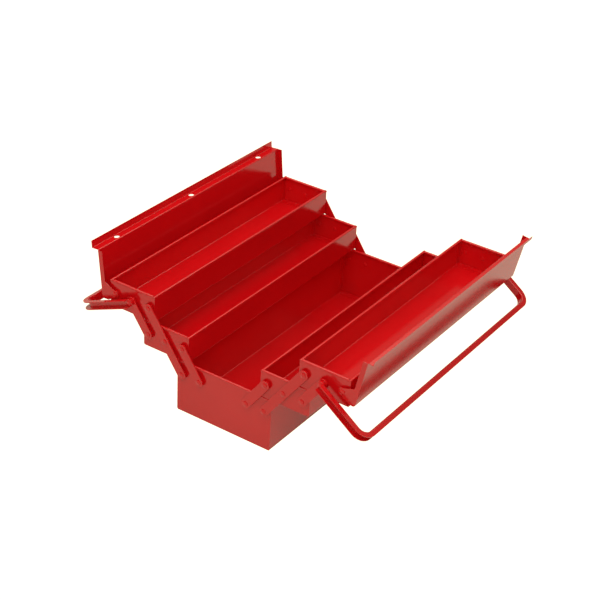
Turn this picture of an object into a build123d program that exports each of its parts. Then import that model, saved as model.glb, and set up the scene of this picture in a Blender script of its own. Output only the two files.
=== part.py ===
from build123d import *
import os
from math import acos, atan2, cos, degrees, hypot, radians, sin

os.makedirs("parts", exist_ok=True)

# Millimetres and degrees. X runs across the box, Y along it and Z up, and the origin is under
# the middle of the bottom box. The near end is at -Y. The box is modelled standing open, with
# both stacks of trays swung out, both lids back and both handles hanging.

# Bottom box and trays
box_length = 526  # over the end walls
box_width = 200  # over the long walls
box_height = 104
tray_height = 52
sheet = 0.8
fold_radius = 3.0  # outside radius of the folds along a floor
rim_stand = 0.5  # of the rolled rim, outside its wall
rim_width = 5.0
rim_height = 4.6
rim_round = 2.0
rim_end_round = 0.4
seam_depth = 12  # welded seam of an end wall, along the floor and the long walls
seam_drop = 3  # from the rim down to the top of a seam
rest_gap = 0.3  # between a tray and the rim that it rests on
centre_gap = 0.5  # from the middle plane to a closed tray

# Pivots
pivot_inset = 12.5  # from an outer wall and from the middle plane
pivot_drop = 25  # below every rim
rivet_radius = 2.5
rivet_play = 0.05  # round a rivet, and between faces that turn on each other
head_radius = 5.0
head_height = 1.8
tail_radius = 4.0
tail_height = 1.5
spacer_radius = 6.0

# Folding arms
arm_width = 18
arm_sheet = 2.0
arm_stand = 3.8  # from an end wall to the arms
arm_round = 0.5

# Lids, sized in the closed position
left_swing_angle = 95.5  # of a lid from closed to open
right_swing_angle = 101
lid_corner = 5.5  # outside radius of the long folded corner
lid_sweep_gap = 0.35  # between the swinging lid and the tray's rim
lid_side_gap = 0.4  # between a skirt and the tray's rim
lid_stop_gap = 0.35  # between a skirt's edge and the tray's wall when open
lid_end_stand = 4.0  # from an end wall to a lid's cheek
cheek_depth = 9
ear_radius = 8.0
ear_reach = 19  # how far an ear's slope runs inwards from the hinge
ear_round = 4.0
lock_fold = 8.5  # from the middle plane to the upstand
lock_fold_radius = 1.3  # in the middle of the sheet
lock_inset = 1.5  # from a lid's end to the end of its upstand
left_upstand = 15.0
left_lip = 13.0
right_upstand = 9.5  # lower, because the left lip laps over it when both lids are closed
right_lip = 7.0
lock_hole_radius = 5.0  # in the left upstand
lock_hole_height = 7.0
lock_hole_pitch = 210
lock_hole_count = 3

# Handles
handle_reach = 117  # from the pivot to the outside of the grip
handle_width = 15
handle_depth = 10
handle_sheet = 1.5
handle_round = 2.0  # along the folds beside the web
handle_stand = 10.2  # from an end wall to a handle's web
handle_bend = 16  # inside radius of the two corners
handle_meet_gap = 1.0  # from the middle plane to a raised grip
left_droop_angle = 22.5  # below the horizontal at rest
right_droop_angle = 36

# Worked out from the sizes above
half_length = box_length / 2
half_width = box_width / 2
rim_reach = rim_width - rim_stand  # of a rim, inwards from the wall's outer face
outer_pivot = half_width - pivot_inset
inner_pivot = pivot_inset
middle_pivot = (outer_pivot + inner_pivot) / 2
stage_shift = 2 * (outer_pivot - middle_pivot)  # outward travel of one tray on the one below
stage_rise = tray_height + rest_gap
pivot_height = tray_height - pivot_drop
arm_swing = 2 * degrees(atan2(stage_shift / 2, stage_rise))
box_pivot_z = box_height - pivot_drop
tray_base = [box_height + rest_gap, box_height + rest_gap + stage_rise]
tray_pivot_z = [base + pivot_height for base in tray_base]
tray_width = half_width - centre_gap - rim_stand
tray_middle = half_width - tray_width / 2
pivot_hole = rivet_radius + rivet_play
hinge_x = outer_pivot + 2 * stage_shift
handle_x = middle_pivot + 2 * stage_shift
hinge_z = tray_pivot_z[1]


def across(x, y, z):
    # A plane square to the box's length, seen from the near end
    return Plane(origin=(x, y, z), x_dir=(1, 0, 0), z_dir=(0, -1, 0))


def finish(part, label):
    part.label = label
    export_step(part, f"parts/{label}.step")


def cap_radius(spread, rise):
    # Radius of the sphere whose cap is this wide and this tall
    return (spread**2 + rise**2) / (2 * rise)


def make_shell(label, centre, base, width, height):
    # One sheet folded up into the floor and the two long walls, with a rolled rim on each wall
    wall = (width - sheet) / 2
    wall_top = height - rim_height / 2
    rim_x = width / 2 + rim_stand - rim_width / 2
    with BuildPart() as shell:
        with BuildSketch(across(centre, 0, base)):
            with BuildLine():
                FilletPolyline(
                    (-wall, wall_top),
                    (-wall, sheet / 2),
                    (wall, sheet / 2),
                    (wall, wall_top),
                    radius=fold_radius - sheet / 2,
                )
            trace(line_width=sheet)
        extrude(amount=half_length, both=True)
        with BuildSketch(across(centre, 0, base + wall_top)):
            with Locations((-rim_x, 0), (rim_x, 0)):
                RectangleRounded(rim_width, rim_height, rim_round)
        extrude(amount=half_length + rim_stand, both=True)
        rim_ends = shell.faces().group_by(Axis.Y)
        fillet((rim_ends[0] + rim_ends[-1]).edges(), rim_end_round)
    finish(shell.part, label)


def make_end(label, end, centre, base, width, height, pivots):
    # An end wall between the long walls, with a rolled rim, a welded seam and its pivot holes
    inside = width / 2 - sheet
    wall_top = height - rim_height / 2
    edge = inside - sheet / 2
    seam_top = height - rim_height - seam_drop
    outer_face = across(centre, end * half_length, base)
    with BuildPart() as wall:
        with BuildSketch(outer_face) as outline:
            with Locations((0, sheet)):
                Rectangle(2 * inside, wall_top - sheet, align=(Align.CENTER, Align.MIN))
            fillet(outline.vertices().group_by(Axis.Y)[0], fold_radius - sheet)
            with Locations((-inside, wall_top), (inside, wall_top)):
                Rectangle(2 * (rim_reach - sheet), rim_height, mode=Mode.SUBTRACT)
            with Locations(*[(x - centre, height - pivot_drop) for x in pivots]):
                Circle(pivot_hole, mode=Mode.SUBTRACT)
        extrude(amount=end * sheet)
        with BuildSketch(outer_face):
            with BuildLine():
                FilletPolyline(
                    (-edge, seam_top),
                    (-edge, 1.5 * sheet),
                    (edge, 1.5 * sheet),
                    (edge, seam_top),
                    radius=fold_radius - 1.5 * sheet,
                )
            trace(line_width=sheet)
        extrude(amount=end * seam_depth)
        rim_y = end * (half_length + rim_stand - rim_width / 2)
        with BuildSketch(Plane.YZ.offset(centre)):
            with Locations((rim_y, base + wall_top)):
                RectangleRounded(rim_width, rim_height, rim_round)
        extrude(amount=width / 2 - rim_reach, both=True)
    finish(wall.part, label)


def make_spacers(label, points, start, stop):
    # Rings round the rivets, the same at both ends of the box
    with BuildPart() as spacers:
        for end in (-1, 1):
            with BuildSketch(across(0, end * (half_length + start), 0)):
                with Locations(*points):
                    Circle(spacer_radius)
                    Circle(pivot_hole, mode=Mode.SUBTRACT)
            extrude(amount=-end * (stop - start))
    finish(spacers.part, label)


def make_rivets(label, points, grip):
    # Rivets with a domed head outside and a domed tail inside, at both ends of the box
    head_side = grip + 0.4 * head_height
    tail_side = -sheet - 0.4 * tail_height
    head_dome = cap_radius(head_radius, 0.6 * head_height)
    tail_dome = cap_radius(tail_radius, 0.6 * tail_height)
    with BuildPart() as rivets:
        for x, z in points:
            for end in (-1, 1):
                seat = Vector(x, end * half_length, z)
                with BuildSketch(Plane(origin=seat, x_dir=(0, end, 0), z_dir=(end, 0, 0))):
                    with BuildLine():
                        RadiusArc((-sheet - tail_height, 0), (tail_side, tail_radius), tail_dome)
                        Polyline(
                            (tail_side, tail_radius),
                            (-sheet, tail_radius),
                            (-sheet, rivet_radius),
                            (grip, rivet_radius),
                            (grip, head_radius),
                            (head_side, head_radius),
                        )
                        RadiusArc((head_side, head_radius), (grip + head_height, 0), head_dome)
                        Line((grip + head_height, 0), (-sheet - tail_height, 0))
                    make_face()
                revolve(axis=Axis(seat, (0, end, 0)))
    finish(rivets.part, label)


def make_arm(label, end, pivots):
    # A flat bar with round ends and a hole at each pivot
    (x0, z0), (x1, z1) = pivots[0], pivots[-1]
    with BuildPart() as arm:
        with BuildSketch(across(0, end * (half_length + arm_stand), 0)):
            with Locations(((x0 + x1) / 2, (z0 + z1) / 2)):
                lean = degrees(atan2(z1 - z0, x1 - x0))
                SlotCenterToCenter(hypot(x1 - x0, z1 - z0), arm_width, rotation=lean)
            with Locations(*pivots):
                Circle(pivot_hole, mode=Mode.SUBTRACT)
        extrude(amount=-end * arm_sheet)
        outer_face = arm.faces().sort_by(Axis.Y)[-1 if end > 0 else 0]
        fillet(outer_face.outer_wire().edges(), arm_round)
    finish(arm.part, label)


# Lid section about the hinge, in the closed position: n runs outwards and t upwards
rim_corner = hypot(pivot_inset + rim_stand - rim_round, pivot_drop - rim_round) + rim_round
panel_inner = rim_corner + lid_sweep_gap
panel_outer = panel_inner + sheet
skirt_outer = pivot_inset + rim_stand + lid_side_gap + sheet
stop_reach = pivot_inset + lid_stop_gap
lock_face = lock_fold - outer_pivot
skirt_inner = skirt_outer - sheet
cheek_start = lock_face + lock_fold_radius
cheek_edge = panel_outer - cheek_depth
lid_half = half_length + lid_end_stand + sheet


def make_lid(label, side, swing_angle, upstand, lip, locks):
    # A folded sheet with a skirt, a panel and a locking upstand, and a cheek welded into each end
    swing = radians(swing_angle)
    skirt_edge = (stop_reach - skirt_outer * cos(swing)) / sin(swing)
    section = Plane(
        origin=(side * hinge_x, 0, hinge_z),
        x_dir=(side * cos(swing), 0, -sin(swing)),
        z_dir=(0, -side, 0),
    )
    mid_panel = panel_inner + sheet / 2
    mid_skirt = skirt_outer - sheet / 2
    mid_lock = lock_face + sheet / 2
    mid_lip = panel_outer + upstand - sheet / 2
    with BuildPart() as lid:
        with BuildSketch(section):
            with BuildLine():
                FilletPolyline(
                    (mid_skirt, skirt_edge),
                    (mid_skirt, mid_panel),
                    (mid_lock, mid_panel),
                    (mid_lock, mid_lip),
                    (lock_face - lip, mid_lip),
                    radius=(lid_corner - sheet / 2, lock_fold_radius, lock_fold_radius),
                )
            trace(line_width=sheet)
        extrude(amount=lid_half, both=True)
        for way in (-1, 1):
            with BuildSketch(section.offset(way * lid_half)):
                with Locations((cheek_start + sheet, panel_outer)):
                    Rectangle(2 * left_lip, 2 * left_upstand, align=(Align.MAX, Align.MIN))
            extrude(amount=-way * lock_inset, mode=Mode.SUBTRACT)
        if locks:
            upstand_face = Plane(
                origin=section.from_local_coords((mid_lock, panel_outer + lock_hole_height, 0)),
                x_dir=(0, 1, 0),
                z_dir=section.x_dir,
            )
            with BuildSketch(upstand_face):
                with GridLocations(lock_hole_pitch, 0, lock_hole_count, 1):
                    Circle(lock_hole_radius)
            extrude(amount=lock_fold_radius, both=True, mode=Mode.SUBTRACT)
    finish(lid.part, label)

    for end, end_name in ((-1, "near"), (1, "far")):
        way = -side * end
        with BuildPart() as cheek:
            with BuildSketch(section.offset(way * (lid_half - sheet))):
                with BuildLine():
                    FilletPolyline(
                        (cheek_start, cheek_edge),
                        (-ear_reach, cheek_edge),
                        (-ear_radius, 0),
                        (ear_radius, 0),
                        (skirt_inner, skirt_edge),
                        (skirt_inner, panel_inner),
                        (cheek_start, panel_inner),
                        radius=(ear_round, 0, 0, 0, lid_corner - sheet),
                    )
                    Line((cheek_start, panel_inner), (cheek_start, cheek_edge))
                make_face()
                Circle(ear_radius)
                Circle(pivot_hole, mode=Mode.SUBTRACT)
            extrude(amount=way * sheet)
        finish(cheek.part, f"{label}_{end_name}_cheek")


def add_loop(start, reach, spread, corner, mode=Mode.ADD):
    # A face from start to reach along a handle's arms, rounded at its two outer corners
    with BuildLine(mode=Mode.PRIVATE) as edge:
        FilletPolyline(
            (start, -spread), (reach, -spread), (reach, spread), (start, spread), radius=corner
        )
        Line((start, spread), (start, -spread))
    make_face(edge.edges(), mode=mode)


def make_handle(label, side, droop_angle):
    # A pressed channel, open outwards, bent into a bail, with the web run on round each pivot
    angle = radians(droop_angle)
    pivot = (side * handle_x, 0, hinge_z)
    along = (side * cos(angle), 0, -sin(angle))
    bail = Plane(origin=pivot, x_dir=along, z_dir=(side * sin(angle), 0, cos(angle)))
    side_view = Plane(origin=pivot, x_dir=along, z_dir=(0, -1, 0))
    half = handle_width / 2
    web_y = half_length + handle_stand
    web_reach = handle_reach - handle_depth

    def beside_web(edge):
        place = bail.to_local_coords(edge.center())
        inside_bail = place.X < web_reach + handle_sheet and abs(place.Y) < web_y + handle_sheet
        return inside_bail and abs(place.Z) > half / 2

    with BuildPart() as handle:
        with BuildSketch(bail):
            add_loop(0, handle_reach, web_y + handle_depth, handle_bend + handle_depth)
            add_loop(-half, web_reach, web_y, handle_bend, Mode.SUBTRACT)
        extrude(amount=half, both=True)
        fillet(handle.edges().filter_by(beside_web), handle_round)
        with BuildSketch(bail):
            add_loop(-half, 2 * handle_reach, 2 * web_y, handle_bend)
            add_loop(
                -2 * half,
                web_reach + handle_sheet,
                web_y + handle_sheet,
                handle_bend + handle_sheet,
                Mode.SUBTRACT,
            )
        extrude(amount=half - handle_sheet, both=True, mode=Mode.SUBTRACT)
        for end in (-1, 1):
            with BuildSketch(side_view.offset(-end * web_y)):
                Circle(half)
            extrude(amount=-end * handle_sheet)
        with BuildSketch(side_view):
            Circle(pivot_hole)
        extrude(amount=2 * web_y, both=True, mode=Mode.SUBTRACT)
    finish(handle.part, label)


# Bottom box
box_pivots = [side * x for side in (-1, 1) for x in (middle_pivot, outer_pivot)]
box_points = [(x, box_pivot_z) for x in box_pivots]
link_grip = arm_stand + arm_sheet + rivet_play
link_spacer = arm_stand - rivet_play
make_shell("box_shell", 0, 0, box_width, box_height)
for end, end_name in ((-1, "near"), (1, "far")):
    make_end(f"box_{end_name}_end", end, 0, 0, box_width, box_height, box_pivots)
make_spacers("box_spacers", box_points, 0, link_spacer)
make_rivets("box_rivets", box_points, link_grip)

for side, side_name in ((-1, "left"), (1, "right")):
    # Middle and top trays, each with its rivets and the spacers on them
    for stage, tray_name in ((1, "middle"), (2, "top")):
        shift = stage * stage_shift
        centre = side * (tray_middle + shift)
        base = tray_base[stage - 1]
        pivots = [side * (x + shift) for x in (inner_pivot, middle_pivot, outer_pivot)]
        points = [(x, base + pivot_height) for x in pivots]
        name = f"{side_name}_{tray_name}"
        make_shell(f"{name}_tray", centre, base, tray_width, tray_height)
        for end, end_name in ((-1, "near"), (1, "far")):
            label = f"{name}_tray_{end_name}_end"
            make_end(label, end, centre, base, tray_width, tray_height, pivots)
        if stage == 1:
            middle_points = points
            make_spacers(f"{name}_spacers", points, 0, link_spacer)
            make_rivets(f"{name}_rivets", points, link_grip)
        else:
            top_points = points
            handle_grip = handle_stand + handle_sheet + rivet_play
            lid_grip = lid_end_stand + sheet + rivet_play
            make_spacers(f"{name}_spacers", points[:2], 0, link_spacer)
            handle_spacer = handle_stand - rivet_play
            lid_spacer = lid_end_stand - rivet_play
            make_spacers(f"{side_name}_handle_spacers", points[1:2], link_grip, handle_spacer)
            make_spacers(f"{side_name}_lid_spacers", points[2:], 0, lid_spacer)
            make_rivets(f"{name}_rivets", points[:1], link_grip)
            make_rivets(f"{side_name}_handle_rivets", points[1:2], handle_grip)
            make_rivets(f"{side_name}_lid_rivets", points[2:], lid_grip)

    # Arms: a long one through both trays, and a short one for each stage beside it
    box_middle = (side * middle_pivot, box_pivot_z)
    box_outer = (side * outer_pivot, box_pivot_z)
    arms = {
        "long": [box_outer, middle_points[1], top_points[0]],
        "lower": [box_middle, middle_points[0]],
        "upper": [middle_points[2], top_points[1]],
    }
    for arm_name, pivots in arms.items():
        for end, end_name in ((-1, "near"), (1, "far")):
            make_arm(f"{side_name}_{arm_name}_arm_{end_name}", end, pivots)

make_lid("left_lid", -1, left_swing_angle, left_upstand, left_lip, True)
make_lid("right_lid", 1, right_swing_angle, right_upstand, right_lip, False)
make_handle("left_handle", -1, left_droop_angle)
make_handle("right_handle", 1, right_droop_angle)

# Angles that the joints use
grip_corner = hypot(handle_reach, handle_width / 2)
grip_lean = degrees(atan2(handle_width / 2, handle_reach))
raised = degrees(acos((handle_meet_gap - middle_pivot) / grip_corner)) - grip_lean
left_rise_angle = raised + left_droop_angle
right_rise_angle = raised + right_droop_angle
print(f"arms swing {arm_swing:.3f}, lids {left_swing_angle} left and {right_swing_angle} right")
print(f"handles rise {left_rise_angle:.3f} left and {right_rise_angle:.3f} right")
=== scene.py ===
import bmesh
import bpy
import math
from mathutils import Matrix, Vector


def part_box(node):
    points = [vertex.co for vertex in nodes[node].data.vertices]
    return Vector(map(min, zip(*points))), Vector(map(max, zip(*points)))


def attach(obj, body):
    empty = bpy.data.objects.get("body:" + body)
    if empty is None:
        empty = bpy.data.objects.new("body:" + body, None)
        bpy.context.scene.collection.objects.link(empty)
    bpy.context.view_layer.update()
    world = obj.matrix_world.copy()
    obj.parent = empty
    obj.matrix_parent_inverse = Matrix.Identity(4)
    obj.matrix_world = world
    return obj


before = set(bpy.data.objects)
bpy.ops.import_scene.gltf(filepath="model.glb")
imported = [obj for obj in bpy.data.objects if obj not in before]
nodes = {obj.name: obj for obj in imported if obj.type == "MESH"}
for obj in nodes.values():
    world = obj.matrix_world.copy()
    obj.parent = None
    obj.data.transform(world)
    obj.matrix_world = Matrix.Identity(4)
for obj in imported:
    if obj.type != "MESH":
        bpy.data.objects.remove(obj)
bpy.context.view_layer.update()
print("frame loaded:", len(nodes), "nodes")

mm = 0.001


def linearColour(hexColour):
    channels = [int(hexColour[i:i + 2], 16) / 255 for i in (0, 2, 4)]
    return [c / 12.92 if c <= 0.04045 else ((c + 0.055) / 1.055) ** 2.4 for c in channels] + [1.0]


def addNode(tree, kind, settings=None, inputs=None):
    # settings are the node's own properties; inputs are values or the sockets that feed it
    node = tree.nodes.new(kind)
    for name, value in (settings or {}).items():
        setattr(node, name, value)
    for name, value in (inputs or {}).items():
        if isinstance(value, bpy.types.NodeSocket):
            tree.links.new(value, node.inputs[name])
        else:
            node.inputs[name].default_value = value
    return node


def newMaterial(name):
    material = bpy.data.materials.new(name)
    material.use_nodes = True
    material.node_tree.nodes.clear()
    return material


def place(name, data):
    piece = bpy.data.objects.new(name, data)
    bpy.context.collection.objects.link(piece)
    return piece


# Gloss enamel baked on steel: it levels as it bakes, so a wall mirrors the paper and
# the next tray at a low angle, and keeps only a faint orange peel
enamel = {
    "colour": "DA0F17",
    "deepColour": "CE0C14",
    "ior": 1.5,
    "onSheet": 0.15, "onBars": 0.2, "onRivets": 0.25,  # roughness
    "cloudSize": 90.0,  # mm, slow drift of the film's thickness
    "cloudDetail": 2.0,
    "peelSize": 2.5,  # mm from hill to hill
    "peelDetail": 1.0,
    "peelDepth": 0.004,  # mm
}


def makeEnamel(name, roughness):
    material = newMaterial(name)
    tree = material.node_tree
    spot = addNode(tree, "ShaderNodeTexCoord").outputs["Object"]
    clouds = addNode(tree, "ShaderNodeTexNoise", inputs={
        "Vector": spot, "Scale": 1 / (enamel["cloudSize"] * mm), "Detail": enamel["cloudDetail"]})
    film = addNode(tree, "ShaderNodeMix", {"data_type": "RGBA"}, {
        "Factor": clouds.outputs["Fac"],
        "A": linearColour(enamel["deepColour"]), "B": linearColour(enamel["colour"])})
    peel = addNode(tree, "ShaderNodeTexNoise", inputs={
        "Vector": spot, "Scale": 1 / (enamel["peelSize"] * mm), "Detail": enamel["peelDetail"]})
    bump = addNode(tree, "ShaderNodeBump", inputs={
        "Height": peel.outputs["Fac"], "Distance": enamel["peelDepth"] * mm, "Strength": 1.0})
    shader = addNode(tree, "ShaderNodeBsdfPrincipled", inputs={
        "Base Color": film.outputs["Result"], "Roughness": roughness, "IOR": enamel["ior"],
        "Normal": bump.outputs["Normal"]})
    addNode(tree, "ShaderNodeOutputMaterial", inputs={"Surface": shader.outputs["BSDF"]})
    return material


# The same enamel goes over all of it: smoothest on the sheets, duller on the bars, which
# are punched from thicker stock, and dullest on rivets, whose heads and tails are hammered
sheetEnamel = makeEnamel("stovedEnamelOnSheet", enamel["onSheet"])
barEnamel = makeEnamel("stovedEnamelOnBars", enamel["onBars"])
rivetEnamel = makeEnamel("stovedEnamelOnRivets", enamel["onRivets"])
for name, node in nodes.items():
    node.data.materials.clear()
    if "_rivets" in name or "_spacers" in name:
        node.data.materials.append(rivetEnamel)
    elif "_arm_" in name or "_handle" in name:
        node.data.materials.append(barEnamel)
    else:
        node.data.materials.append(sheetEnamel)
print("finishes on")

# Spot welds along the end walls' seams, which show as low domes under the enamel
weld = {
    "radius": 2.2, "rise": 0.6, "bed": 0.1,  # mm; the bed is sunk in the sheet
    "turns": 20, "rings": 4,
    "ontoSeam": 9.5,  # mm from the seam's free edge
    "aboveBase": 15.0,  # mm, on the long walls
    "seamFace": 1.6,  # mm, two sheets thick
    "mergeWithin": 0.001,  # mm
}
weldedShells = {"box": {
    "node": "box_shell", "end": "box_{}_end", "halfWidth": 100.0, "across": (-80.0, -28.0, 28.0, 80.0)}}
for side in ("left", "right"):
    for stage in ("middle", "top"):
        tray = f"{side}_{stage}_tray"
        weldedShells[tray] = {
            "node": tray, "end": tray + "_{}_end", "halfWidth": 49.5, "across": (-44.0, -18.0, 18.0, 44.0)}


def addWeld(form, centre, outward):
    # A lens turned about the sheet's normal: an arc from the crown to the rim, and a flat bed
    reach, rise, bed = weld["radius"] * mm, weld["rise"] * mm, weld["bed"] * mm
    side = outward.orthogonal().normalized()
    outline = [centre + outward * rise]
    for ring in range(1, weld["rings"] + 1):
        share = ring / weld["rings"]
        outline.append(centre + side * reach * share + outward * rise * (1 - share ** 2))
    outline.append(centre + side * reach - outward * bed)
    outline.append(centre - outward * bed)
    points = [form.verts.new(point) for point in outline]
    edges = [form.edges.new(pair) for pair in zip(points, points[1:])]
    bmesh.ops.spin(form, geom=points + edges, cent=centre, axis=outward, angle=2 * math.pi,
                   steps=weld["turns"], use_merge=True)


def weldShell(body, shell):
    low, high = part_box(shell["node"])
    middle = (low.x + high.x) / 2
    face = weld["seamFace"] * mm
    form = bmesh.new()
    for end, way in (("near", -1), ("far", 1)):
        endLow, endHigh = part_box(shell["end"].format(end))
        seamEdge = endHigh.y if way < 0 else endLow.y
        y = seamEdge + way * weld["ontoSeam"] * mm
        for offset in shell["across"]:
            addWeld(form, Vector((middle + offset * mm, y, low.z + face)), Vector((0, 0, 1)))
        for wall in (-1, 1):
            x = middle + wall * (shell["halfWidth"] * mm - face)
            addWeld(form, Vector((x, y, low.z + weld["aboveBase"] * mm)), Vector((-wall, 0, 0)))
    bmesh.ops.remove_doubles(form, verts=form.verts, dist=weld["mergeWithin"] * mm)
    bmesh.ops.recalc_face_normals(form, faces=form.faces)
    mesh = bpy.data.meshes.new(body + "_welds")
    form.to_mesh(mesh)
    form.free()
    for polygon in mesh.polygons:
        polygon.use_smooth = True
    mesh.materials.append(sheetEnamel)
    piece = place(body + "_welds", mesh)
    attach(piece, body)


for body, shell in weldedShells.items():
    weldShell(body, shell)
print("spot welds on:", len(weldedShells), "shells")

# Studio: pale paper and pale surroundings, one wide soft lamp above and two in front. The
# camera sees both as plain white. The enamel mirrors them dimmer, save for the sky overhead
studio = {
    "floorColour": "DCD3C6", "floorReach": 6.0,
    "glowColour": "FFFAE2", "glow": 1.4,  # strong enough to be white in the picture
    "floorShown": 0.97,  # how far the camera sees the floor as that glow
    "floorMirrored": 0.46,  # and how far the paint does; the rest is the lit paper
    "skyColour": "FFF7E0", "skyShown": 1.45, "skyFill": 0.22,
    "skyMirrored": 0.26, "skyMirroredAbove": 1.8,  # low down and overhead
    "skyTurn": 0.53, "skyAbove": 0.74,  # where the one passes into the other, as sines of elevation
    "lampColour": "FFF7E6", "lampAim": (0, 0, 0.1),
}
reach = studio["floorReach"]
corners = [(-reach, -reach, 0), (reach, -reach, 0), (reach, reach, 0), (-reach, reach, 0)]
floorMesh = bpy.data.meshes.new("floor")
floorMesh.from_pydata(corners, [], [(0, 1, 2, 3)])
floor = place("floor", floorMesh)

floorFinish = newMaterial("studioFloor")
tree = floorFinish.node_tree
ray = addNode(tree, "ShaderNodeLightPath")
paper = addNode(tree, "ShaderNodeBsdfDiffuse", inputs={"Color": linearColour(studio["floorColour"])})
glow = addNode(tree, "ShaderNodeEmission", inputs={
    "Color": linearColour(studio["glowColour"]), "Strength": studio["glow"]})
mirrored = addNode(tree, "ShaderNodeMath", {"operation": "MULTIPLY"}, {
    0: ray.outputs["Is Glossy Ray"], 1: studio["floorMirrored"]})
shown = addNode(tree, "ShaderNodeMath", {"operation": "MULTIPLY_ADD"}, {
    0: ray.outputs["Is Camera Ray"], 1: studio["floorShown"], 2: mirrored.outputs["Value"]})
floorMix = addNode(tree, "ShaderNodeMixShader", inputs={
    "Fac": shown.outputs["Value"], 1: paper.outputs["BSDF"], 2: glow.outputs["Emission"]})
addNode(tree, "ShaderNodeOutputMaterial", inputs={"Surface": floorMix.outputs["Shader"]})
floorMesh.materials.append(floorFinish)

world = bpy.data.worlds.new("studio")
bpy.context.scene.world = world
world.use_nodes = True
tree = world.node_tree
tree.nodes.clear()
ray = addNode(tree, "ShaderNodeLightPath")
direction = addNode(tree, "ShaderNodeTexCoord")
height = addNode(tree, "ShaderNodeSeparateXYZ", inputs={"Vector": direction.outputs["Generated"]})
mirrorSky = addNode(tree, "ShaderNodeMapRange", {"interpolation_type": "SMOOTHSTEP"}, {
    "Value": height.outputs["Z"], "From Min": studio["skyTurn"], "From Max": studio["skyAbove"],
    "To Min": studio["skyMirrored"], "To Max": studio["skyMirroredAbove"]})
fillOrMirror = addNode(tree, "ShaderNodeMix", {"data_type": "FLOAT"}, {
    "Factor": ray.outputs["Is Glossy Ray"], "A": studio["skyFill"], "B": mirrorSky.outputs["Result"]})
strength = addNode(tree, "ShaderNodeMix", {"data_type": "FLOAT"}, {
    "Factor": ray.outputs["Is Camera Ray"], "A": fillOrMirror.outputs["Result"], "B": studio["skyShown"]})
sky = addNode(tree, "ShaderNodeBackground", inputs={
    "Color": linearColour(studio["skyColour"]), "Strength": strength.outputs["Result"]})
addNode(tree, "ShaderNodeOutputWorld", inputs={"Surface": sky.outputs["Background"]})

lamps = {
    "topLamp": {"place": (0.0, 0.0, 2.6), "size": 4.5, "power": 64},
    "frontHighLamp": {"place": (0.4, -1.8, 2.7), "size": 1.8, "power": 16},
    "frontRightLamp": {"place": (1.6, -2.6, 1.7), "size": 1.6, "power": 16},
}
for name, lamp in lamps.items():
    light = bpy.data.lights.new(name, "AREA")
    light.shape = "DISK"
    light.size = lamp["size"]
    light.energy = lamp["power"]
    light.color = linearColour(studio["lampColour"])[:3]
    source = place(name, light)
    source.location = lamp["place"]
    aim = Vector(studio["lampAim"]) - source.location
    source.rotation_euler = aim.to_track_quat("-Z", "Y").to_euler()
print("studio lit")

# Camera fitted to the photograph: place and angles in the frame of the box
view = {
    "place": (1.26034, -1.97658, 1.54396),
    "turn": -33.071, "down": 30.966, "roll": 3.335,  # degrees
    "focal": 1511.65, "imageSide": 600,  # pixels
    "sensor": 36,  # mm
}
cameraData = bpy.data.cameras.new("camera")
cameraData.sensor_width = view["sensor"]
cameraData.lens = view["focal"] / view["imageSide"] * view["sensor"]
camera = place("camera", cameraData)
yaw, pitch, roll = (math.radians(view[k]) for k in ("turn", "down", "roll"))
ahead = Vector((math.sin(yaw) * math.cos(pitch), math.cos(yaw) * math.cos(pitch), -math.sin(pitch)))
level = Vector((math.cos(yaw), -math.sin(yaw), 0))
upright = level.cross(ahead)
rightward = level * math.cos(roll) + upright * math.sin(roll)
upward = upright * math.cos(roll) - level * math.sin(roll)
turned = Matrix((rightward, upward, -ahead)).transposed().to_4x4()
camera.matrix_world = Matrix.Translation(Vector(view["place"])) @ turned
bpy.context.scene.camera = camera
bpy.context.scene.view_settings.view_transform = "Standard"
print("camera placed")
